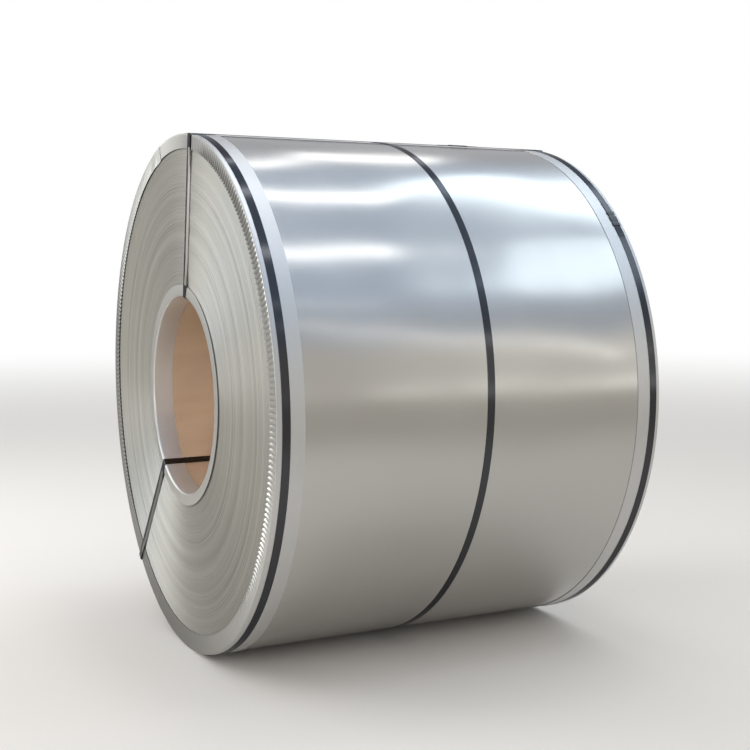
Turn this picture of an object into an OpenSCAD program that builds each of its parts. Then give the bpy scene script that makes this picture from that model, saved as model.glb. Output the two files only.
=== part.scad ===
// Strapped coil of steel strip, lying on its side.
// The eye runs along Y, the front end faces -Y and the floor is the plane Z = 0.
// All sizes are in millimetres, and angles turn from +X towards +Z about the eye.

/* [Coil] */
// Outside diameter of the wound strip
coil_d = 1300; // [900:10:1800]
// Inside diameter of the winding, which is the eye
eye_d = 508; // [400:2:700]
// Width of the strip
strip_w = 1000; // [600:10:1600]
// Radial height of a group of turns that shows on the ends
turn_group = 8; // [6:0.5:16]
// Depth of the groove between two groups of turns
turn_groove = 1.4; // [0.4:0.1:2.4]
// Most that a group of turns lies back from the end
turn_scatter = 1.2; // [0.2:0.1:2.4]
// Break on the edges of the first and the last turn
turn_edge = 1; // [0.5:0.1:2]

/* [Bore liner] */
// Thickness of the liner board
liner_t = 2.5; // [1.5:0.25:6]
// Distance from the end of the coil back to the end of the liner
liner_inset = 6; // [5:1:30]

/* [Outer edge rings] */
// Sheet thickness of all the edge rings
ring_t = 1; // [0.6:0.1:2]
// Width of the flange on the end of the coil
outer_flange = 41; // [20:1:80]
// Width of the leg on the outside of the coil
outer_depth = 63; // [50:1:120]
// Inside radius of the fold between the two legs
outer_fold_r = 0.4; // [0.2:0.1:0.6]

/* [Inner edge rings] */
// Width of the flange around the eye
inner_flange = 26; // [15:1:60]
// Depth of the leg inside the eye
inner_depth = 50; // [30:1:200]
// Inside radius of the fold between the two legs
inner_fold_r = 4; // [2:0.25:5]
// Gap between the flange and the end of the coil
inner_lift = 2.5; // [0.5:0.25:5]

/* [Straps] */
// Width of the strapping
strap_w = 19; // [13:1:32]
// Thickness of the strapping
strap_t = 0.8; // [0.5:0.1:1.4]
// Distance from the front end to the middle of the front band
band_front_in = 20; // [18:1:34]
// Distance from the front end to the middle of the middle band
band_middle_in = 503; // [200:1:560]
// Distance from the back end to the middle of the back band
band_back_in = 18; // [18:1:34]
// Lean of the middle band off square
band_middle_lean_a = 2.3; // [0:0.1:4]
// Side of the coil where the middle band leans furthest to the back
band_middle_side_a = 45; // [0:5:90]
// Place of the upper strap through the eye
eye_strap_upper_a = 81; // [60:1:120]
// Place of the lower strap through the eye
eye_strap_lower_a = 230; // [200:1:250]
// Inside radius of the bends of a strap through the eye
strap_bend_r = 2; // [1:0.25:4]

/* [Seals] */
// Length of a seal along its strap
seal_l = 48; // [30:1:70]
// Wall of a seal
seal_t = 1; // [0.6:0.1:1.6]
// Length of the strap's end that lies doubled on each side of a seal
strap_tail = 34; // [10:1:60]
// Place of the front band's seal
seal_front_a = 146; // [130:1:160]
// Place of the middle band's seal
seal_middle_a = 138; // [130:1:160]
// Place of the back band's seal
seal_back_a = 43; // [20:1:60]
// Distance from the middle of the coil to the seals of the straps through the eye
seal_eye_y = 240; // [100:1:260]

/* [Hidden] */
// Gap that keeps each wrapped piece just off the one under it
seat_gap = 0.2;
// Length by which a cut runs past the face that it opens
overrun = 1;
// Facets of a full circle in previews, and of one that only a short length is cut from
$fn = 180;
hoop_facets = 1440;

coil_r = coil_d / 2;
eye_r = eye_d / 2;
half_w = strip_w / 2;
groups = floor((coil_r - eye_r - 2 * turn_edge) / turn_group);
group_step = (coil_r - eye_r - 2 * turn_edge) / groups;
// Share of a group's height that its groove takes
groove_share = 0.3;
// Steps of angle, in degrees, that scatter the groups unevenly but always alike
scatter_steps = [97, 41];

liner_r = eye_r - seat_gap;
liner_in_r = liner_r - liner_t;

inner_leg_r = liner_in_r - seat_gap;
eye_clear_r = inner_leg_r - ring_t;
inner_fold_y = half_w + inner_lift - inner_fold_r;

outer_leg_r = coil_r + seat_gap;
outer_skin_r = outer_leg_r + ring_t;
end_skin_y = half_w + seat_gap + ring_t;

band_ring_r = outer_skin_r + seat_gap;
band_coil_r = coil_r + seat_gap;
band_skin_r = band_ring_r + strap_t;
axis_h = band_skin_r;
band_front_y = band_front_in - half_w;
band_middle_y = band_middle_in - half_w;
band_back_y = half_w - band_back_in;

// The loop of a strap through the eye: its inside faces, as distances from the axis and from mid-width
loop_low_r = sqrt(pow(eye_clear_r - seat_gap, 2) - pow(strap_w / 2, 2));
loop_high_r = band_skin_r + seat_gap;
loop_end_y = half_w + inner_lift + ring_t + seat_gap;

hollow_w = strap_w + 2 * seat_gap;
hollow_h = 2 * strap_t + seat_gap;
tail_l = seal_l + 2 * strap_tail;

// Turns children drawn about Z so that the axis lies along +Y at the eye's height, angles from +X towards +Z
module on_axis() {
  translate([0, 0, axis_h])
    rotate([90, 0, 0])
      mirror([0, 0, 1])
        children();
}

// How far back from the end the group with this number lies, from 0 to turn_scatter
function group_back(i) =
  turn_scatter * (2 + sin(i * scatter_steps[0]) + sin(i * scatter_steps[1])) / 4;

// One end of the winding as points from the eye outwards: flat groups with a groove between each two
function end_points() = [
  for (i = [0 : groups - 1])
    let (r = eye_r + turn_edge + i * group_step, y = half_w - group_back(i), g = group_step * groove_share / 2)
      each [
        [r + g, y],
        [r + group_step - g, y],
        if (i < groups - 1) [r + group_step, half_w - turn_scatter - turn_groove]
      ]
];

function reversed(points) = [for (i = [len(points) - 1 : -1 : 0]) points[i]];
function other_end(points) = [for (p = points) [p[0], -p[1]]];

// The wound strip, turned in one piece
module coil() {
  low = half_w - turn_scatter - turn_edge;
  color([0.66, 0.68, 0.69])
    on_axis()
      rotate_extrude()
        polygon(concat(
          [[eye_r, -low], [eye_r, low]],
          end_points(),
          [[coil_r, low], [coil_r, -low]],
          reversed(other_end(end_points()))
        ));
}

// The board tube that lines the eye
module bore_liner() {
  color([0.66, 0.5, 0.36])
    on_axis()
      rotate_extrude()
        translate([liner_in_r, liner_inset - half_w])
          square([liner_t, strip_w - 2 * liner_inset]);
}

// A quarter of a ring of the sheet's thickness, from start_a to end_a about the origin
module fold(inside_r, start_a, end_a) {
  reach = 2 * (inside_r + ring_t);
  intersection() {
    difference() {
      circle(inside_r + ring_t);
      circle(inside_r);
    }
    polygon([
      [0, 0],
      reach * [cos(start_a), sin(start_a)],
      reach * [cos((start_a + end_a) / 2), sin((start_a + end_a) / 2)],
      reach * [cos(end_a), sin(end_a)]
    ]);
  }
}

// An angle ring over the outer edge, with its flange on the end at +Z
module outer_angle() {
  fold_x = outer_leg_r - outer_fold_r;
  fold_y = half_w + seat_gap - outer_fold_r;
  color([0.74, 0.75, 0.75])
    rotate_extrude() {
      translate([outer_leg_r, half_w - outer_depth])
        square([ring_t, fold_y - half_w + outer_depth]);
      translate([fold_x, fold_y])
        fold(outer_fold_r, 0, 90);
      translate([outer_skin_r - outer_flange, half_w + seat_gap])
        square([fold_x - outer_skin_r + outer_flange, ring_t]);
    }
}

// An angle ring around the eye at the end at +Z, with a flange that stands a little off the end
module inner_angle() {
  color([0.7, 0.69, 0.67])
    rotate_extrude() {
      translate([eye_clear_r, half_w - inner_depth])
        square([ring_t, inner_fold_y - half_w + inner_depth]);
      translate([inner_leg_r + inner_fold_r, inner_fold_y]) {
        fold(inner_fold_r, 90, 180);
        translate([0, inner_fold_r])
          square([inner_flange, ring_t]);
      }
    }
}

// Places children of the front end, drawn as if they were at the back one
module on_axis_front() {
  on_axis()
    mirror([0, 0, 1])
      children();
}

module outer_edge_ring_front() {
  on_axis_front()
    outer_angle();
}

module outer_edge_ring_back() {
  on_axis()
    outer_angle();
}

module inner_edge_ring_front() {
  on_axis_front()
    inner_angle();
}

module inner_edge_ring_back() {
  on_axis()
    inner_angle();
}

// A length of hoop about Z, square to it or leaning to the back on the side that band_middle_side_a gives
module hoop(inside_r, thickness, w, lean, start_a, turn_a) {
  reach = 3 * inside_r;
  half_l = w + inside_r * tan(lean);
  intersection() {
    rotate(start_a)
      rotate_extrude(angle = turn_a, $fn = hoop_facets)
        translate([inside_r, -half_l])
          square([thickness, 2 * half_l]);
    rotate(band_middle_side_a)
      rotate([0, -lean, 0])
        cube([reach, reach, w], center = true);
  }
}

// Angle that a length along a hoop takes up
function hoop_a(l, r) = l / r * 180 / PI;

// A hoop of strap at this place along the axis, with its end doubled where the seal is
module band(y, inside_r, seal_a, lean = 0) {
  tail_a = hoop_a(tail_l, inside_r);
  color([0.13, 0.14, 0.15])
    on_axis()
      translate([0, 0, y]) {
        hoop(inside_r, strap_t, strap_w, lean, 0, 360);
        hoop(inside_r + strap_t / 2, strap_t * 3 / 2, strap_w, lean, seal_a - tail_a / 2, tail_a);
      }
}

// A folded clip that saddles the two layers of a band
module band_seal(y, inside_r, seal_a, lean = 0) {
  clip_a = hoop_a(seal_l, inside_r);
  color([0.2, 0.2, 0.21])
    on_axis()
      translate([0, 0, y])
        difference() {
          hoop(inside_r, hollow_h + seal_t, hollow_w + 2 * seal_t, lean, seal_a - clip_a / 2, clip_a);
          hoop(inside_r - overrun, hollow_h + overrun, hollow_w, lean, seal_a - clip_a, 2 * clip_a);
        }
}

module band_front() {
  band(band_front_y, band_ring_r, seal_front_a);
}

module band_middle() {
  band(band_middle_y, band_coil_r, seal_middle_a, band_middle_lean_a);
}

module band_back() {
  band(band_back_y, band_ring_r, seal_back_a);
}

module seal_front() {
  band_seal(band_front_y, band_ring_r, seal_front_a);
}

module seal_middle() {
  band_seal(band_middle_y, band_coil_r, seal_middle_a, band_middle_lean_a);
}

module seal_back() {
  band_seal(band_back_y, band_ring_r, seal_back_a);
}

// A rectangle from the low corner to the high one, with round corners
module rounded_box(low, high, r) {
  size = high - low;
  translate(low + [r, 0])
    square(size - [2 * r, 0]);
  translate(low + [0, r])
    square(size - [0, 2 * r]);
  for (x = [low[0] + r, high[0] - r], y = [low[1] + r, high[1] - r])
    translate([x, y])
      circle(r);
}

// Turns a section drawn by distance from the axis and place along it to its angle about the axis
module around_axis(angle) {
  translate([0, 0, axis_h])
    rotate([0, -angle, 0])
      children();
}

// A strap through the eye: a closed loop along the bore, both ends and the outside, doubled at its seal
module eye_strap(angle) {
  low = [loop_low_r, -loop_end_y];
  high = [loop_high_r, loop_end_y];
  skin = [strap_t, strap_t];
  color([0.13, 0.14, 0.15])
    around_axis(angle) {
      translate([0, 0, -strap_w / 2])
        linear_extrude(strap_w)
          difference() {
            rounded_box(low - skin, high + skin, strap_bend_r + strap_t);
            rounded_box(low, high, strap_bend_r);
          }
      translate([loop_high_r + strap_t / 2, seal_eye_y - tail_l / 2, -strap_w / 2])
        cube([strap_t * 3 / 2, tail_l, strap_w]);
    }
}

// A folded clip that saddles the two layers of a strap through the eye
module eye_seal(angle) {
  color([0.2, 0.2, 0.21])
    around_axis(angle)
      translate([loop_high_r, seal_eye_y - seal_l / 2, 0])
        difference() {
          translate([0, 0, -hollow_w / 2 - seal_t])
            cube([hollow_h + seal_t, seal_l, hollow_w + 2 * seal_t]);
          translate([-overrun, -overrun, -hollow_w / 2])
            cube([hollow_h + overrun, seal_l + 2 * overrun, hollow_w]);
        }
}

module eye_strap_upper() {
  eye_strap(eye_strap_upper_a);
}

module eye_strap_lower() {
  eye_strap(eye_strap_lower_a);
}

module seal_eye_upper() {
  eye_seal(eye_strap_upper_a);
}

module seal_eye_lower() {
  eye_seal(eye_strap_lower_a);
}

coil();
bore_liner();
outer_edge_ring_front();
outer_edge_ring_back();
inner_edge_ring_front();
inner_edge_ring_back();
band_front();
band_middle();
band_back();
eye_strap_upper();
eye_strap_lower();
seal_front();
seal_middle();
seal_back();
seal_eye_upper();
seal_eye_lower();
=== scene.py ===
"""Looks for a strapped coil of steel strip that lies on its side."""

import math

import bpy
import numpy as np
from mathutils import Matrix, Vector


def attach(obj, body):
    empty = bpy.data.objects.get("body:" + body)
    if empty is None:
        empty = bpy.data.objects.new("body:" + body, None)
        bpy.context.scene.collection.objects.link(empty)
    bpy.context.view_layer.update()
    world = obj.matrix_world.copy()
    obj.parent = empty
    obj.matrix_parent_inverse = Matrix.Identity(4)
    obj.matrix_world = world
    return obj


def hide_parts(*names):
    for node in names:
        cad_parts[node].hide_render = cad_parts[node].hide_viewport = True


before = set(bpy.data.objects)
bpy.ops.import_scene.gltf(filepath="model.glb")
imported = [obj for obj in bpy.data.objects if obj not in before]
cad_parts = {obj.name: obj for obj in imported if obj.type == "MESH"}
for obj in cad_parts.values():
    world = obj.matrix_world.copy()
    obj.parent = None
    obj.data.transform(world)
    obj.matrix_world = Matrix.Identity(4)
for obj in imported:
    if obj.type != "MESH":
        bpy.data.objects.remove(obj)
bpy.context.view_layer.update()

# Sizes of the solids, in metres. A name that ends in A is an angle in degrees, from +X towards +Z
MM = 0.001
SEAT_GAP = 0.2 * MM

# The coil, with its turns in groups
HALF_W, COIL_R, EYE_R = 500 * MM, 650 * MM, 254 * MM
GROUPS = 49
TURN_EDGE, TURN_SCATTER, TURN_GROOVE = 1 * MM, 1.2 * MM, 1.4 * MM
SCATTER_STEPS = (97, 41)

# The liner
LINER_T, LINER_INSET = 2.5 * MM, 6 * MM
LINER_OUT_R = EYE_R - SEAT_GAP
LINER_IN_R = LINER_OUT_R - LINER_T
LINER_HALF = HALF_W - LINER_INSET

# The edge rings
SHEET = 1 * MM
OUTER_FLANGE, OUTER_DEPTH = 41 * MM, 63 * MM
OUTER_SKIN_R = COIL_R + SEAT_GAP + SHEET
OUTER_RIM_R = OUTER_SKIN_R - OUTER_FLANGE
INNER_DEPTH, INNER_LIFT, INNER_FOLD_R = 50 * MM, 2.5 * MM, 4 * MM
INNER_CLEAR_R = LINER_IN_R - SEAT_GAP - SHEET

# The straps. The coil lies on its two outer bands
STRAP_W, STRAP_T = 19 * MM, 0.8 * MM
BAND_RING_R = OUTER_SKIN_R + SEAT_GAP
BAND_COIL_R = COIL_R + SEAT_GAP
BAND_FRONT_Y, BAND_MIDDLE_Y, BAND_BACK_Y = -480 * MM, 3 * MM, 482 * MM
MIDDLE_LEAN_A, MIDDLE_SIDE_A = 2.3, 45
AXIS_Z = BAND_RING_R + STRAP_T
UPPER_A, LOWER_A = 81, 230
LOOP_LOW_R = math.sqrt((INNER_CLEAR_R - SEAT_GAP)**2 - (STRAP_W / 2)**2)
LOOP_HIGH_R = AXIS_Z + SEAT_GAP
LOOP_END = HALF_W + INNER_LIFT + SHEET + SEAT_GAP
LOOP_BEND_R = 2 * MM

# The clips, and the doubled end of a strap below each
SEAL_L, SEAL_WALL, STRAP_TAIL = 48 * MM, 1 * MM, 34 * MM
TAIL_L = SEAL_L + 2 * STRAP_TAIL
SEAL_FRONT_A, SEAL_MIDDLE_A, SEAL_BACK_A = 146, 138, 43
SEAL_EYE_Y = 240 * MM

# Fine relief and tones that the solids leave out

# The inner flange's edge, its lean to the turns, and where and how far it stands off them
INNER_RIM_R, INNER_LEAN = 279 * MM, 1.2 * MM
INNER_STAND, INNER_STAND_A = 2 * MM, -42

# The outer flange's edge. Its sheet was laid on a little off centre, so it is wider at the lower left
RIM_MEAN_R = OUTER_RIM_R - 3 * MM
RIM_OFF, RIM_OFF_A = 8 * MM, 35

# The crimps of the outer flanges: ridges that rise, with grooves where the edge sinks and draws back.
# Their places are shares of the way across, from the fold to the rim
CRIMPS, CRIMP_STEPS = 308, 8
CRIMP_PLACES = np.array([0, 0.12, 0.26, 0.42, 0.58, 0.74, 0.88, 1])
RIDGE_RISE, GROOVE_SINK, GROOVE_BACK = 3.6 * MM, 0.6 * MM, 2.5 * MM

# The lapped joint of an outer ring. The rim stands off the turns past it, and the end below draws back
JOINT_A, JOINT_LAP_A = 103.5, 4.0
JOINT_STAND, JOINT_BACK = 1.8 * MM, 5 * MM

# Painted reflection and shade on the outer flanges' sheet, from 0 (its own grey) to 1 (darkest):
# by angle round the front one, evenly all round the back one. The meshes carry it under a name
FRONT_PAINTED_SHADE = [
    (-90, 0.55), (-50, 0.05), (0, 0.35), (20, 0.28), (62, 0.9),
    (80, 0.9), (100, 0.3), (150, 0.75), (230, 0.85),
]
BACK_TONE = 0.45
PAINTED_LIGHT_ATTRIBUTE = "dull"

# On the front end, up to a place along Y, a strap through the eye is turned by a slope.
# There it is rubbed up to a line beside its middle
STRAP_SLOPE, STRAP_RUB = 0.19, 1.5 * MM
STRAP_FRONT_Y = 4 * MM - LOOP_END


# Meshes

SHARP_ANGLE = math.radians(32)
SEGMENTS, INNER_SEGMENTS, HOOP_SEGMENTS = 256, 320, 720


def grow(value, start, end):
    """From 0 at the start to 1 at the end, and level beyond them."""
    return np.clip((value - start) / (end - start), 0, 1)


def around(segments):
    """Equal steps of angle round the axis, in radians."""
    return np.linspace(0, 2 * math.pi, segments, endpoint=False)


def on_axis(r, y, angle):
    """Points at a radius from the eye's axis, a place along it and an angle in radians."""
    r, y, angle = np.broadcast_arrays(r, y, angle)
    return np.stack([r * np.cos(angle), y, AXIS_Z + r * np.sin(angle)], -1)


def arc(centre, radius, start, end, steps):
    """Points (x, y) along an arc, angles in degrees."""
    a = np.radians(np.linspace(start, end, steps))
    return [(centre[0] + radius * math.cos(t), centre[1] + radius * math.sin(t)) for t in a]


def swept(outlines, closed, flip=False):
    """Points and faces over a row of outlines, with a cap on each end where the row isn't closed."""
    count, across = outlines.shape[:2]
    i, j = np.meshgrid(np.arange(count if closed else count - 1), np.arange(across), indexing="ij")
    here, there = i * across, (i + 1) % count * across
    ahead = (j + 1) % across
    faces = np.stack([here + j, there + j, there + ahead, here + ahead], -1).reshape(-1, 4).tolist()
    if not closed:
        last = (count - 1) * across
        faces += [list(range(across)), list(range(last, last + across))[::-1]]
    if flip:
        faces = [face[::-1] for face in faces]
    return outlines.reshape(-1, 3), faces


def joined(*parts):
    """Several (points, faces) as one."""
    points, faces, start = [], [], 0
    for p, f in parts:
        points.append(p)
        faces += [[k + start for k in face] for face in f]
        start += len(p)
    return np.concatenate(points), faces


def new_object(name, points, faces, materials, face_material=None):
    """A mesh object of those faces, smooth apart from its sharp edges."""
    mesh = bpy.data.meshes.new(name)
    mesh.from_pydata(points.tolist(), [], faces)
    for material in materials:
        mesh.materials.append(material)
    if face_material is not None:
        mesh.polygons.foreach_set("material_index", np.asarray(face_material, np.int32))
    mesh.polygons.foreach_set("use_smooth", np.ones(len(mesh.polygons), bool))
    mesh.update()
    obj = bpy.data.objects.new(name, mesh)
    bpy.context.scene.collection.objects.link(obj)
    mesh.set_sharp_from_angle(angle=SHARP_ANGLE)
    return obj


def turned(name, profile, segments, materials, edge_material=None):
    """A closed outline of (radius, y) points, anticlockwise seen with y up, turned about the axis.

    It may also be one such outline for each segment. edge_material has a number for each edge of the outline.
    """
    profile = np.asarray(profile, float)
    points, faces = swept(on_axis(profile[..., 0], profile[..., 1], around(segments)[:, None]), True)
    face_material = None if edge_material is None else np.tile(edge_material, segments)
    return new_object(name, points, faces, materials, face_material)


# Nodes


def node(tree, kind, inputs=(), **settings):
    """A node with its settings, and values or links for its inputs."""
    n = tree.nodes.new(kind)
    for key, value in settings.items():
        setattr(n, key, value)
    for key, value in dict(inputs).items():
        if isinstance(value, bpy.types.NodeSocket):
            tree.links.new(value, n.inputs[key])
        else:
            n.inputs[key].default_value = value
    return n


def maths(tree, operation, first, second):
    """One number from two."""
    return node(tree, "ShaderNodeMath", {0: first, 1: second}, operation=operation).outputs["Value"]


def vectors(tree, operation, first, second):
    """One vector from two, axis by axis."""
    return node(tree, "ShaderNodeVectorMath", {0: first, 1: second}, operation=operation).outputs["Vector"]


def length(tree, vector):
    """The length of a vector."""
    return node(tree, "ShaderNodeVectorMath", {0: vector}, operation="LENGTH").outputs["Value"]


def mapped(tree, value, low, high):
    """A value from 0 to 1 turned into one from low to high."""
    return node(tree, "ShaderNodeMapRange", {"Value": value, "To Min": low, "To Max": high}).outputs["Result"]


def fade(tree, value, start, end, kind="SMOOTHSTEP"):
    """From 0 where a value is at the start to 1 where it is at the end."""
    limits = {"Value": value, "From Min": start, "From Max": end}
    return node(tree, "ShaderNodeMapRange", limits, interpolation_type=kind).outputs["Result"]


def mixed(tree, factor, first, second):
    """Two colours mixed."""
    colors = {"Factor": factor, 6: first, 7: second}
    return node(tree, "ShaderNodeMix", colors, data_type="RGBA").outputs[2]


def ramp(tree, value, stops):
    """A colour ramp over a value. Each stop is (place, colour)."""
    n = node(tree, "ShaderNodeValToRGB", {"Fac": value})
    while len(n.color_ramp.elements) < len(stops):
        n.color_ramp.elements.new(0.5)
    for element, (at, color) in zip(n.color_ramp.elements, stops):
        element.position = at
        element.color = (*color, 1)
    return n.outputs["Color"]


def place(tree):
    """The point that is shaded, from the middle of the coil."""
    at = node(tree, "ShaderNodeTexCoord").outputs["Object"]
    return vectors(tree, "ADD", at, (0, 0, -AXIS_Z))


def radius(tree, at):
    """Distance of a point from the eye's axis."""
    return length(tree, vectors(tree, "MULTIPLY", at, (1, 0, 1)))


def noise(tree, vector, scale, detail=2.0):
    """A noise value that changes with a vector."""
    inputs = {"Vector": vector, "Scale": scale, "Detail": detail}
    return node(tree, "ShaderNodeTexNoise", inputs).outputs["Fac"]


def line_noise(tree, value, scale, detail):
    """A noise value that changes along one number only."""
    inputs = {"W": value, "Scale": scale, "Detail": detail}
    return node(tree, "ShaderNodeTexNoise", inputs, noise_dimensions="1D").outputs["Fac"]


def bump(tree, shader, height, strength, distance):
    """Adds a bump to a shader's normal."""
    n = node(tree, "ShaderNodeBump", {"Height": height, "Strength": strength, "Distance": distance})
    tree.links.new(n.outputs["Normal"], shader.inputs["Normal"])


def about_axis(tree, shader):
    """Makes a shader's sheen run around the eye's axis."""
    tangent = node(tree, "ShaderNodeTangent", direction_type="RADIAL", axis="Y").outputs["Tangent"]
    tree.links.new(tangent, shader.inputs["Tangent"])


# Materials


def principled(name, color, metallic, roughness, **more):
    """A new material, and its node tree and shader."""
    material = bpy.data.materials.new(name)
    material.use_nodes = True
    tree = material.node_tree
    shader = tree.nodes["Principled BSDF"]
    shader.inputs["Base Color"].default_value = (*color, 1)
    shader.inputs["Metallic"].default_value = metallic
    shader.inputs["Roughness"].default_value = roughness
    for socket, value in more.items():
        shader.inputs[socket.replace("_", " ")].default_value = value
    return material, tree, shader


def strip_side():
    """The outer turn of strip: bright and satin, with long shallow waves."""
    material, tree, shader = principled("strip_side", (0.505, 0.492, 0.468), 1, 0.2)
    at = place(tree)
    waves = noise(tree, vectors(tree, "MULTIPLY", at, (1.0, 1.2, 1.0)), 1.7, 1.0)
    bump(tree, shader, waves, 0.42, 0.05)
    tree.links.new(mapped(tree, noise(tree, at, 5.0), 0.16, 0.27), shader.inputs["Roughness"])
    return material


def strip_edges():
    """The edges of the turns on the ends: fine rings of slightly different greys, with painted shade under
    the flanges.
    """
    grey, change, dark = (0.415, 0.406, 0.372), 0.05, (0.02, 0.02, 0.018, 1)
    material, tree, shader = principled("strip_edges", grey, 1, 0.6, Anisotropic=0.86)
    # The turns spread a reflection across them, not along them
    shader.inputs["Anisotropic Rotation"].default_value = 0.25
    about_axis(tree, shader)
    at = place(tree)
    r = radius(tree, at)
    fine, broad = line_noise(tree, r, 260.0, 3.0), line_noise(tree, r, 34.0, 2.0)
    both = maths(tree, "MULTIPLY", maths(tree, "ADD", fine, broad), 0.5)
    greys = [tuple(c + d for c in grey) for d in (-change, 0, change)]
    rings = ramp(tree, both, list(zip((0.3, 0.5, 0.72), greys)))
    # Painted shade: the turns under the outer flanges, whose edges lie off centre, are coloured near black
    side = math.radians(RIM_OFF_A)
    off = vectors(tree, "SUBTRACT", at, (RIM_OFF * math.cos(side), 0, RIM_OFF * math.sin(side)))
    painted_shade_under_flange = fade(tree, radius(tree, off), RIM_MEAN_R - 1 * MM, RIM_MEAN_R + 3 * MM, "LINEAR")
    tree.links.new(mixed(tree, painted_shade_under_flange, rings, dark), shader.inputs["Base Color"])
    bump(tree, shader, fine, 0.12, 0.002)
    return material


def ring_sheet(name, color, roughness, sheen=0.0):
    """Galvanised sheet of the edge rings, with a faint spangle. If it has a sheen, its mesh paints light and
    shade on it.
    """
    material, tree, shader = principled(name, color, 1, roughness, Anisotropic=sheen)
    about_axis(tree, shader)
    if sheen:
        amount = node(tree, "ShaderNodeAttribute", attribute_name=PAINTED_LIGHT_ATTRIBUTE).outputs["Fac"]
        # Painted shade and reflection: the mesh's value darkens the sheet's grey, down to a quarter of it
        painted_shade_color = tuple(0.25 * c for c in color)
        tree.links.new(ramp(tree, amount, [(0, color), (1, painted_shade_color)]), shader.inputs["Base Color"])
    spangle = node(tree, "ShaderNodeTexVoronoi", {"Vector": place(tree), "Scale": 90.0}).outputs["Color"]
    tree.links.new(mapped(tree, spangle, roughness - 0.01, roughness + 0.03), shader.inputs["Roughness"])
    return material


def liner_board():
    """Brown board with a little mottling."""
    material, tree, shader = principled("liner_board", (0.47, 0.325, 0.21), 0, 0.62)
    mottle = noise(tree, vectors(tree, "MULTIPLY", place(tree), (1.0, 0.3, 1.0)), 14.0, 4.0)
    color = ramp(tree, mottle, [(0.3, (0.435, 0.295, 0.19)), (0.7, (0.505, 0.355, 0.235))])
    tree.links.new(color, shader.inputs["Base Color"])
    return material


def strapping():
    """Waxed blue-black steel strap."""
    color, tint = (0.066, 0.067, 0.072), (0.6, 0.6, 0.62, 1)
    material, tree, shader = principled("strapping", color, 1, 0.3, Specular_Tint=tint)
    scuffs = noise(tree, place(tree), 60.0, 3.0)
    tree.links.new(mapped(tree, scuffs, 0.1, 0.18), shader.inputs["Roughness"])
    return material


STRIP_SIDE, STRIP_EDGES = strip_side(), strip_edges()
# One galvanised sheet in lit and shaded copies: the sleeve in the eye is painted much lighter, the legs
# somewhat lighter than the flanges and the collars
RING_LEG = ring_sheet("ring_leg", (0.56, 0.555, 0.545), 0.42)
RING_FLANGE = ring_sheet("ring_flange", (0.48, 0.475, 0.45), 0.31, 0.83)
RING_COLLAR = ring_sheet("ring_collar", (0.45, 0.443, 0.42), 0.34)
RING_SLEEVE = ring_sheet("ring_sleeve", (0.78, 0.77, 0.75), 0.45)
LINER_BOARD = liner_board()
STRAPPING = strapping()
STRAP_WORN, _, _ = principled("strap_worn", (0.24, 0.231, 0.215), 0.9, 0.4)
STRAP_DULL, _, _ = principled("strap_dull", (0.15, 0.147, 0.14), 0.9, 0.42)
STRAP_SEAL, _, _ = principled("strap_seal", (0.05, 0.052, 0.056), 0.6, 0.34)


# Pieces


def add(obj, cad_node):
    """The piece stands for the solid of the same name, which it hides, and hangs from the root body."""
    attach(obj, "root")
    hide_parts(cad_node)


def make_coil():
    """The winding: a plain outside and bore, and ends of turns that lie a little back and forth."""
    step = (COIL_R - EYE_R - 2 * TURN_EDGE) / GROUPS
    low = HALF_W - TURN_SCATTER - TURN_EDGE
    groove_y = HALF_W - 0.6 * TURN_SCATTER

    def varied(mean, change, phase):
        return mean + change * math.sin(phase)

    end = []
    for i in range(GROUPS):
        r = EYE_R + TURN_EDGE + i * step
        wave = sum(math.sin(math.radians(a * i)) for a in SCATTER_STEPS)
        y = HALF_W - TURN_SCATTER * (0.5 + 0.18 * wave)
        # A group has a level face, and a groove beside the next one
        margin = step * varied(0.12, 0.06, 2.3 * i)
        end += [(r + margin, y), (r + step - margin, y)]
        if i < GROUPS - 1:
            end.append((r + step, groove_y - TURN_GROOVE * varied(0.22, 0.16, 5.1 * i + 1)))
    outline = [(EYE_R, low), (EYE_R, -low)] + [(r, -y) for r, y in end]
    outline += [(COIL_R, -low), (COIL_R, low)] + end[::-1]
    # The bore, the front end, the outside and the back end
    edges = len(end) + 1
    sides = [0] + [1] * edges + [0] + [1] * edges
    add(turned("coil", outline, SEGMENTS, [STRIP_SIDE, STRIP_EDGES], sides), "coil")


def make_liner():
    """The board tube in the eye."""
    outline = [(LINER_IN_R, -LINER_HALF), (LINER_OUT_R, -LINER_HALF)]
    outline += [(LINER_OUT_R, LINER_HALF), (LINER_IN_R, LINER_HALF)]
    add(turned("bore_liner", outline, SEGMENTS, [LINER_BOARD]), "bore_liner")


def crimps(degrees):
    """The crimps at each angle: how fully made, how much ridge, how near the top and how strong across."""
    # None are made along the bottom and from the top to the joint
    d, angle = degrees % 360, np.radians(degrees)
    right = np.maximum(grow(d, 84, 70), grow(d, 296, 312))
    left = grow(d, 107, 112.5) * grow(d, 226, 212)
    made = np.clip(right + left, 0, 1)
    ridge = 0.5 + 0.5 * np.cos(angle * CRIMPS)
    # Near the top they reach the fold, and below they fade sooner
    high = np.clip(0.5 + 1.2 * np.sin(angle), 0, 1)
    return made, ridge, high, CRIMP_PLACES**(1.7 - 1.2 * high)


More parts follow.
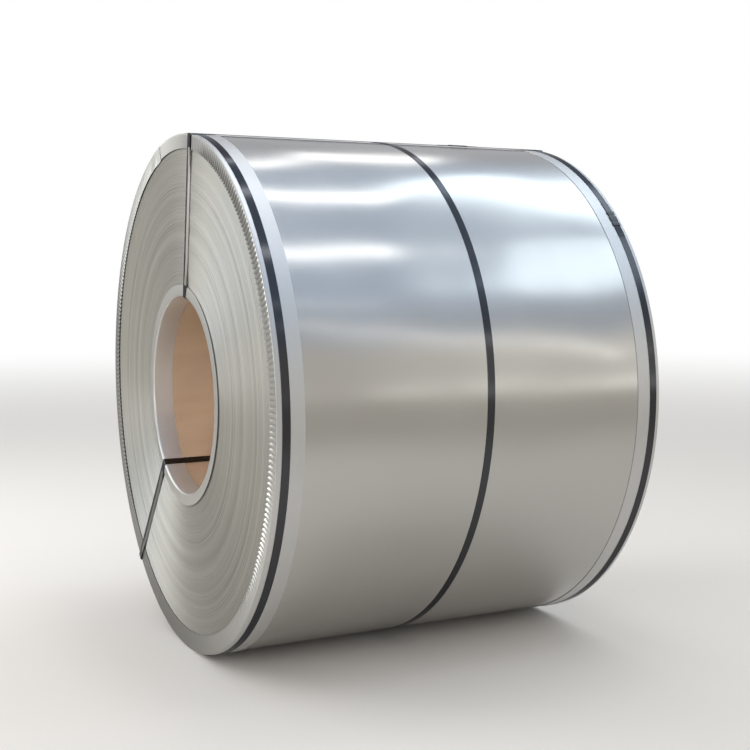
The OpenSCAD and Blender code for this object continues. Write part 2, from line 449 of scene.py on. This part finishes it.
def flange_form(degrees, start_r):
    """Radius of an outer flange at each angle and place across, and its rise there off the flat."""
    made, ridge, _, strong = crimps(degrees)
    groove = 1 - ridge
    # The end below draws back on its way to the joint
    under = grow(degrees, JOINT_A + 330, JOINT_A + 360)
    rim = RIM_MEAN_R + RIM_OFF * np.cos(np.radians(degrees - RIM_OFF_A))
    rim = rim + under * JOINT_BACK + made * groove * GROOVE_BACK
    # Past the joint the grooves stand off the turns as well
    stand = JOINT_STAND * grow(degrees, JOINT_A + 0.5, JOINT_A + 4.5) * grow(degrees, 130, 122)
    rise = made * (RIDGE_RISE * ridge * strong - GROOVE_SINK * CRIMP_PLACES) + stand * groove * CRIMP_PLACES
    return start_r + (rim - start_r) * CRIMP_PLACES, rise


def flange_painted_shade(degrees, tone):
    """Painted light and shade on an outer flange at each angle and place across, over the tone given for each
    angle.
    """
    made, ridge, high, strong = crimps(degrees)
    left = np.clip(-2 * np.cos(np.radians(degrees)), 0, 1)
    # On the left the ridges get a painted highlight at the rim; the grooves get painted shade, most of all
    # near the top
    bright = 0.85 * made * ridge * CRIMP_PLACES**2 * left
    dull = 0.45 * made * (1 - ridge) * strong * (0.3 + 0.7 * high)
    return np.clip(tone * (1 - bright) + dull, 0, 1)


def make_outer_ring(name, end):
    """An angle ring with a crimped flange and its two ends lapped near the top. end is -1 or 1."""
    sweep = 360 + JOINT_LAP_A
    steps = int(sweep / 360 * CRIMPS * CRIMP_STEPS) + 1
    degrees = np.linspace(JOINT_A, JOINT_A + sweep, steps)[:, None]
    # The end at the joint lies over the other one
    over = grow(degrees, JOINT_A + JOINT_LAP_A + 4, JOINT_A + JOINT_LAP_A)
    eased = 0.12 * MM * over
    # The leg falls away a little towards the fold
    leg = np.array([-OUTER_DEPTH, 0.3 * MM - OUTER_DEPTH, -30 * MM, -13 * MM, -10 * MM])
    fold_r, fall, skin = 1.4 * MM, 0.7 * MM, SEAT_GAP + SHEET
    *fold, (start_r, _) = arc((OUTER_SKIN_R - fall - fold_r, skin - fold_r), fold_r, 0, 90, 4)
    fold = np.array(fold)
    flange, rise = flange_form(degrees, start_r)
    top = skin + over * SHEET + rise
    tone = np.interp(degrees, *zip(*FRONT_PAINTED_SHADE), period=360) if end < 0 else BACK_TONE
    # Radius, depth and painted shade of the leg, the fold, the flange, its underside and the inside of the
    # leg
    blocks = [
        (OUTER_SKIN_R + eased, leg, 0),
        (fold[:, 0] + eased, fold[:, 1] + over * SHEET, 0),
        (flange, top, flange_painted_shade(degrees, tone)),
        # The underside, and with it the cut edge at the rim, is painted fully shaded
        (flange[:, ::-1], top[:, ::-1] - SHEET, 1),
        (OUTER_SKIN_R - SHEET, np.array([-0.1 * MM, -OUTER_DEPTH]), 0),
    ]
    columns = [np.broadcast_arrays(*block, over)[:3] for block in blocks]
    r, depth, dull = [np.hstack(part) for part in zip(*columns)]
    outlines = on_axis(r, end * (HALF_W + depth), np.radians(degrees))
    points, faces = swept(outlines, False, flip=end < 0)
    flat = [abs(np.mean(points[face, 1])) > HALF_W + 0.1 * MM for face in faces]
    ring = new_object(name, points, faces, [RING_LEG, RING_FLANGE], flat)
    ring.data.attributes.new(PAINTED_LIGHT_ATTRIBUTE, "FLOAT", "POINT").data.foreach_set("value", dull.ravel())
    add(ring, name)


def make_inner_ring(name, end):
    """An angle ring around the eye, with a round fold. end is -1 or 1."""
    centre = (INNER_CLEAR_R + SHEET + INNER_FOLD_R, INNER_LIFT - INNER_FOLD_R)
    rim = INNER_LIFT - INNER_LEAN
    outline = [(INNER_CLEAR_R, -INNER_DEPTH), (INNER_CLEAR_R, -INNER_DEPTH / 2)]
    outline += arc(centre, INNER_FOLD_R + SHEET, 180, 90, 9)
    outline += [(INNER_RIM_R - 0.4 * MM, rim + SHEET), (INNER_RIM_R, rim + 0.6 * SHEET), (INNER_RIM_R, rim)]
    outline += arc(centre, INNER_FOLD_R, 90, 180, 7)
    outline += [(INNER_CLEAR_R + SHEET, -INNER_DEPTH)]
    outline = [(r, end * (HALF_W + d)) for r, d in outline]
    outline = outline if end < 0 else outline[::-1]
    flat = [abs(a[1] + b[1]) / 2 > HALF_W + rim for a, b in zip(outline, outline[1:] + outline[:1])]
    # The rim stands off the turns on one side
    stand = INNER_STAND * np.clip(np.cos(around(INNER_SEGMENTS) - math.radians(INNER_STAND_A)), 0, 1)
    profile = np.repeat(np.array(outline)[None], INNER_SEGMENTS, 0)
    profile[:, profile[0, :, 0] > INNER_RIM_R - 1 * MM, 1] += end * stand[:, None]
    add(turned(name, profile, INNER_SEGMENTS, [RING_SLEEVE, RING_COLLAR], flat), name)


def strap_section(line=0):
    """The outline across a strap as (across, height) points, with eased edges and a line along its face."""
    w, t, e = STRAP_W / 2, STRAP_T, 0.25 * MM
    return np.array([
        (-w + e, 0), (w - e, 0), (w, e), (w, t - e), (w - e, t), (line, t), (-w + e, t), (-w, t - e), (-w, e),
    ])


def seal_sections():
    """Stations along a clip and the outline across it at each, nipped in at two places."""
    nip_at, nip_half, nip_in, nip_down = 11 * MM, 4 * MM, 1.5 * MM, 0.5 * MM
    edge, foot, wall = 0.5 * MM, 0.05 * MM, SEAL_WALL
    stations = np.linspace(-SEAL_L / 2, SEAL_L / 2, 33)
    outlines = []
    for s in stations:
        nip = max(0, 1 - abs(abs(s) - nip_at) / nip_half)
        w = STRAP_W / 2 + SEAT_GAP + wall - nip_in * nip
        h = 2 * STRAP_T + SEAT_GAP + wall - nip_down * nip
        outlines.append([
            (-w, foot), (-w + wall, foot), (-w + wall, h - wall), (w - wall, h - wall), (w - wall, foot),
            (w, foot), (w, h - edge), (w - edge, h), (-w + edge, h), (-w, h - edge),
        ])
    return stations, np.array(outlines)


def make_band(name, seal_name, y, inside_r, seal_a, lean=0):
    """A hoop of strap with its end doubled, and the clip over the two layers."""

    def at(along, across, height):
        angle = math.radians(seal_a) + along / inside_r
        tilt = math.tan(math.radians(lean)) * inside_r * np.cos(angle - math.radians(MIDDLE_SIDE_A))
        return on_axis(inside_r + height, y + tilt + across, angle)

    across, height = strap_section().T
    hoop = swept(at(inside_r * around(HOOP_SEGMENTS)[:, None], across, height), True)
    along = np.linspace(-TAIL_L / 2, TAIL_L / 2, 25)[:, None]
    tail = swept(at(along, across, height + STRAP_T), False)
    add(new_object(name, *joined(hoop, tail), [STRAPPING]), name)
    stations, outlines = seal_sections()
    clip = swept(at(stations[:, None], outlines[:, :, 0], outlines[:, :, 1]), False)
    add(new_object(seal_name, *clip, [STRAP_SEAL]), seal_name)


def loop_path():
    """The inside line of a strap through the eye as radius and y, and the outward direction at each point."""
    high, low, end = LOOP_HIGH_R - LOOP_BEND_R, LOOP_LOW_R + LOOP_BEND_R, LOOP_END - LOOP_BEND_R
    corners = [(high, -end), (high, end), (low, end), (low, -end)]
    bend_points, run_points = 8, 12
    line, out = [], []
    for k, corner in enumerate(corners):
        start = 90 * k - 90
        line += arc(corner, LOOP_BEND_R, start, start + 90, bend_points)
        out += arc((0, 0), 1, start, start + 90, bend_points)
        # The straight run to the next corner
        ahead = np.array(corners[(k + 1) % 4]) + LOOP_BEND_R * np.array(out[-1])
        line += list(np.linspace(line[-1], ahead, run_points + 2)[1:-1])
        out += [out[-1]] * run_points
    return np.array(line), np.array(out)


def make_eye_strap(name, seal_name, degrees, turn, worn):
    """A strap along the bore, both ends and the outside, and its clip on the outside.

    On the front end it lies a little turned, with one edge on the turns. turn is 1 or -1, for the edge.
    """
    a = math.radians(degrees)

    def at(r, y, across):
        r, y, across = np.broadcast_arrays(r, y, across)
        x, z = r * math.cos(a) - across * math.sin(a), r * math.sin(a) + across * math.cos(a)
        return np.stack([x, y, AXIS_Z + z], -1)

    across, height = strap_section(turn * STRAP_RUB).T
    line, out = loop_path()
    r = line[:, :1] + out[:, :1] * height
    y = line[:, 1:] + out[:, 1:] * height
    first, last, ease = INNER_RIM_R + 4 * MM, OUTER_RIM_R - 6 * MM, 45 * MM
    turned_by = STRAP_SLOPE * grow(r, first, first + ease) * grow(r, last, last - ease)
    y = y + np.where(y < STRAP_FRONT_Y, turned_by * (STRAP_W / 2 - turn * across), 0)
    loop = swept(at(r, y, across), True)
    along = np.linspace(-TAIL_L / 2, TAIL_L / 2, 9)[:, None]
    tail = swept(at(LOOP_HIGH_R + STRAP_T + height, SEAL_EYE_Y + along, across), False)
    points, faces = joined(loop, tail)
    # The part of the front face that is rubbed
    x, y, z = np.array([points[face].mean(0) for face in faces]).T
    z = z - AXIS_Z
    away, beside = np.hypot(x, z), z * math.cos(a) - x * math.sin(a)
    rubbed = (y < STRAP_FRONT_Y) & (away > INNER_RIM_R) & (away < OUTER_RIM_R) & (turn * beside < STRAP_RUB)
    add(new_object(name, points, faces, [STRAPPING, worn], rubbed), name)
    stations, outlines = seal_sections()
    across, height = outlines[:, :, 0], outlines[:, :, 1]
    clip = swept(at(LOOP_HIGH_R + height, SEAL_EYE_Y + stations[:, None], across), False)
    add(new_object(seal_name, *clip, [STRAP_SEAL]), seal_name)


make_coil()
make_liner()
make_outer_ring("outer_edge_ring_front", -1)
make_outer_ring("outer_edge_ring_back", 1)
make_inner_ring("inner_edge_ring_front", -1)
make_inner_ring("inner_edge_ring_back", 1)
make_band("band_front", "seal_front", BAND_FRONT_Y, BAND_RING_R, SEAL_FRONT_A)
make_band("band_middle", "seal_middle", BAND_MIDDLE_Y, BAND_COIL_R, SEAL_MIDDLE_A, MIDDLE_LEAN_A)
make_band("band_back", "seal_back", BAND_BACK_Y, BAND_RING_R, SEAL_BACK_A)
make_eye_strap("eye_strap_upper", "seal_eye_upper", UPPER_A, 1, STRAP_WORN)
make_eye_strap("eye_strap_lower", "seal_eye_lower", LOWER_A, -1, STRAP_DULL)


# Studio

WHITE = (1, 1, 1)
BLUE = (0.82, 0.93, 1)


def make_floor():
    """A pale floor that fades to the white of the background away from the coil."""
    bpy.ops.mesh.primitive_circle_add(vertices=96, radius=30, fill_type="NGON")
    floor = bpy.context.object
    floor.name = "floor"
    material = bpy.data.materials.new("floor")
    material.use_nodes = True
    tree = material.node_tree
    tree.nodes.clear()
    path = node(tree, "ShaderNodeLightPath").outputs
    camera = path["Is Camera Ray"]
    at = node(tree, "ShaderNodeTexCoord").outputs["Object"]
    near = node(tree, "ShaderNodeBsdfDiffuse", {"Color": (0.84, 0.81, 0.77, 1)}).outputs["BSDF"]
    # Mirrored in the coil's outside, it fades sooner and to a dusky grey
    distance = ramp(tree, camera, [(0, (0.55, 0.535, 0.495)), (1, WHITE)])
    distant = node(tree, "ShaderNodeEmission", {"Color": distance}).outputs["Emission"]
    far = fade(tree, length(tree, at), mapped(tree, camera, 1.5, 2.5), mapped(tree, camera, 3.2, 12.0))
    # Mirrored in the coil's end, it doesn't fade
    y = node(tree, "ShaderNodeSeparateXYZ", {0: at}).outputs["Y"]
    shown = maths(tree, "MAXIMUM", fade(tree, y, -3.0, -0.8), camera)
    # Rays of soft light meet the plain floor
    seen = maths(tree, "MAXIMUM", camera, path["Is Glossy Ray"])
    seen = maths(tree, "MAXIMUM", seen, path["Is Transmission Ray"])
    factor = maths(tree, "MULTIPLY", maths(tree, "MULTIPLY", far, shown), seen)
    both = node(tree, "ShaderNodeMixShader", {0: factor, 1: near, 2: distant}).outputs["Shader"]
    node(tree, "ShaderNodeOutputMaterial", {"Surface": both})
    floor.data.materials.append(material)


def make_world():
    """A white background. Mirrors see a room: warm walls, bright low at the back, cool sky, grey beyond."""
    world = bpy.data.worlds.new("studio")
    bpy.context.scene.world = world
    world.use_nodes = True
    tree = world.node_tree
    tree.nodes.clear()
    path = node(tree, "ShaderNodeLightPath").outputs
    ray = node(tree, "ShaderNodeTexCoord").outputs["Generated"]
    x, y, z = node(tree, "ShaderNodeSeparateXYZ", {0: ray}).outputs

    def blend(value, start, end, first, second):
        return mixed(tree, fade(tree, value, start, end), first, second)

    def background(color, strength):
        inputs = {"Color": color, "Strength": strength}
        return node(tree, "ShaderNodeBackground", inputs).outputs["Background"]

    def either(factor, first, second):
        return node(tree, "ShaderNodeMixShader", {0: factor, 1: first, 2: second}).outputs["Shader"]

    high_sky = blend(y, 0.38, 0.6, (0.6, 0.73, 0.92, 1), (0.8, 0.94, 1.14, 1))
    sky = blend(z, 0.5, 0.66, (0.55, 0.62, 0.72, 1), high_sky)
    wall = blend(y, 0.4, 0.58, (0.7, 0.68, 0.64, 1), (0.92, 0.91, 0.87, 1))
    low_wall = blend(y, 0.36, 0.56, wall, (1.6, 1.59, 1.52, 1))
    room = blend(z, 0.3, 0.44, blend(z, 0.085, 0.035, wall, low_wall), sky)
    beyond = blend(y, 0.1, 0.3, (0.66, 0.66, 0.65, 1), (0.52, 0.53, 0.56, 1))
    mirrored = background(blend(x, -0.35, -0.75, room, beyond), 1.0)
    soft, white = background((0.96, 0.98, 1, 1), 0.7), background((*WHITE, 1), 1.0)
    clear = maths(tree, "MAXIMUM", path["Is Camera Ray"], path["Is Transmission Ray"])
    unclear = either(path["Is Glossy Ray"], soft, mirrored)
    node(tree, "ShaderNodeOutputWorld", {"Surface": either(clear, unclear, white)})


def area_light(name, at, towards, size, power, color=WHITE, turn=0, spread=180):
    """A soft box at a point that faces another. size is across and along Y, turn and spread in degrees."""
    light = bpy.data.lights.new(name, "AREA")
    light.shape = "RECTANGLE"
    light.size, light.size_y = size
    light.energy = power
    light.color = color
    light.spread = math.radians(spread)
    obj = bpy.data.objects.new(name, light)
    obj.visible_camera = False
    bpy.context.scene.collection.objects.link(obj)
    back = (Vector(at) - Vector(towards)).normalized()
    side = Vector((0, 1, 0)).cross(back).normalized()
    facing = Matrix((side, back.cross(side), back)).transposed().to_4x4()
    obj.matrix_world = Matrix.Translation(at) @ facing @ Matrix.Rotation(math.radians(turn), 4, "Z")


def make_lights():
    """Soft boxes for the streaks on the outside, others for the front ring and the end, two for the eye."""
    outside = (0.3, 0.1, 1.1)
    area_light("box_behind", (-1.8, 1.3, 3.45), outside, (0.5, 0.75), 2.7)
    area_light("box_ring", (-1.28, 0.6, 3.55), outside, (0.2, 0.45), 1.0)
    area_light("box_over", (-0.15, 0.95, 4.15), outside, (0.3, 1.0), 3.3)
    area_light("box_before", (1.74, 0.95, 3.8), outside, (0.3, 1.0), 2.9)
    area_light("box_back", (-0.2, 2.17, 3.85), outside, (0.85, 1.75), 11.5, BLUE, -48)
    area_light("box_side", (1.85, 2.26, 3.43), outside, (1.6, 0.75), 5.4, BLUE, -14)
    area_light("box_slim", (2.92, 0.8, 3.01), outside, (0.16, 0.8), 0.28)
    area_light("box_low", (3.3, 1.65, 2.1), outside, (0.24, 2.0), 1.5, turn=-35)
    area_light("box_front", (0.1, 0.1, 4.2), (0, -0.4, 1.2), (3.2, 0.45), 18)
    area_light("box_end", (-2.6, -3.2, 2.4), (0, -0.5, 0.7), (2.3, 3.2), 56)
    area_light("box_end_low", (-2.1, -3.45, 1.4), (0, -0.5, 0.6), (1.5, 1.5), 19)
    area_light("fill_front", (2.4, -3.6, 1.4), (0, -0.5, 0.6), (1.4, 1.4), 26)
    area_light("fill_back", (0.55, 4.2, 1.0), (-0.1, 0.2, 0.64), (0.4, 0.4), 1.7, spread=12)


def make_camera():
    """The photo's view."""
    azimuth, elevation = math.radians(61.32), math.radians(5.55)
    level = math.cos(elevation)
    ahead = Vector((-level * math.sin(azimuth), level * math.cos(azimuth), -math.sin(elevation)))
    camera = bpy.data.cameras.new("camera")
    camera.sensor_width = 36
    camera.lens = 62.61
    camera.shift_x, camera.shift_y = -0.0928, 0.0198
    obj = bpy.data.objects.new("camera", camera)
    bpy.context.scene.collection.objects.link(obj)
    side = ahead.cross(Vector((0, 0, 1))).normalized()
    facing = Matrix((side, side.cross(ahead), -ahead)).transposed().to_4x4()
    obj.matrix_world = Matrix.Translation((3.1984, -1.4946, 0.9848)) @ facing
    bpy.context.scene.camera = obj


make_floor()
make_world()
make_lights()
make_camera()
bpy.context.scene.view_settings.view_transform = "Standard"
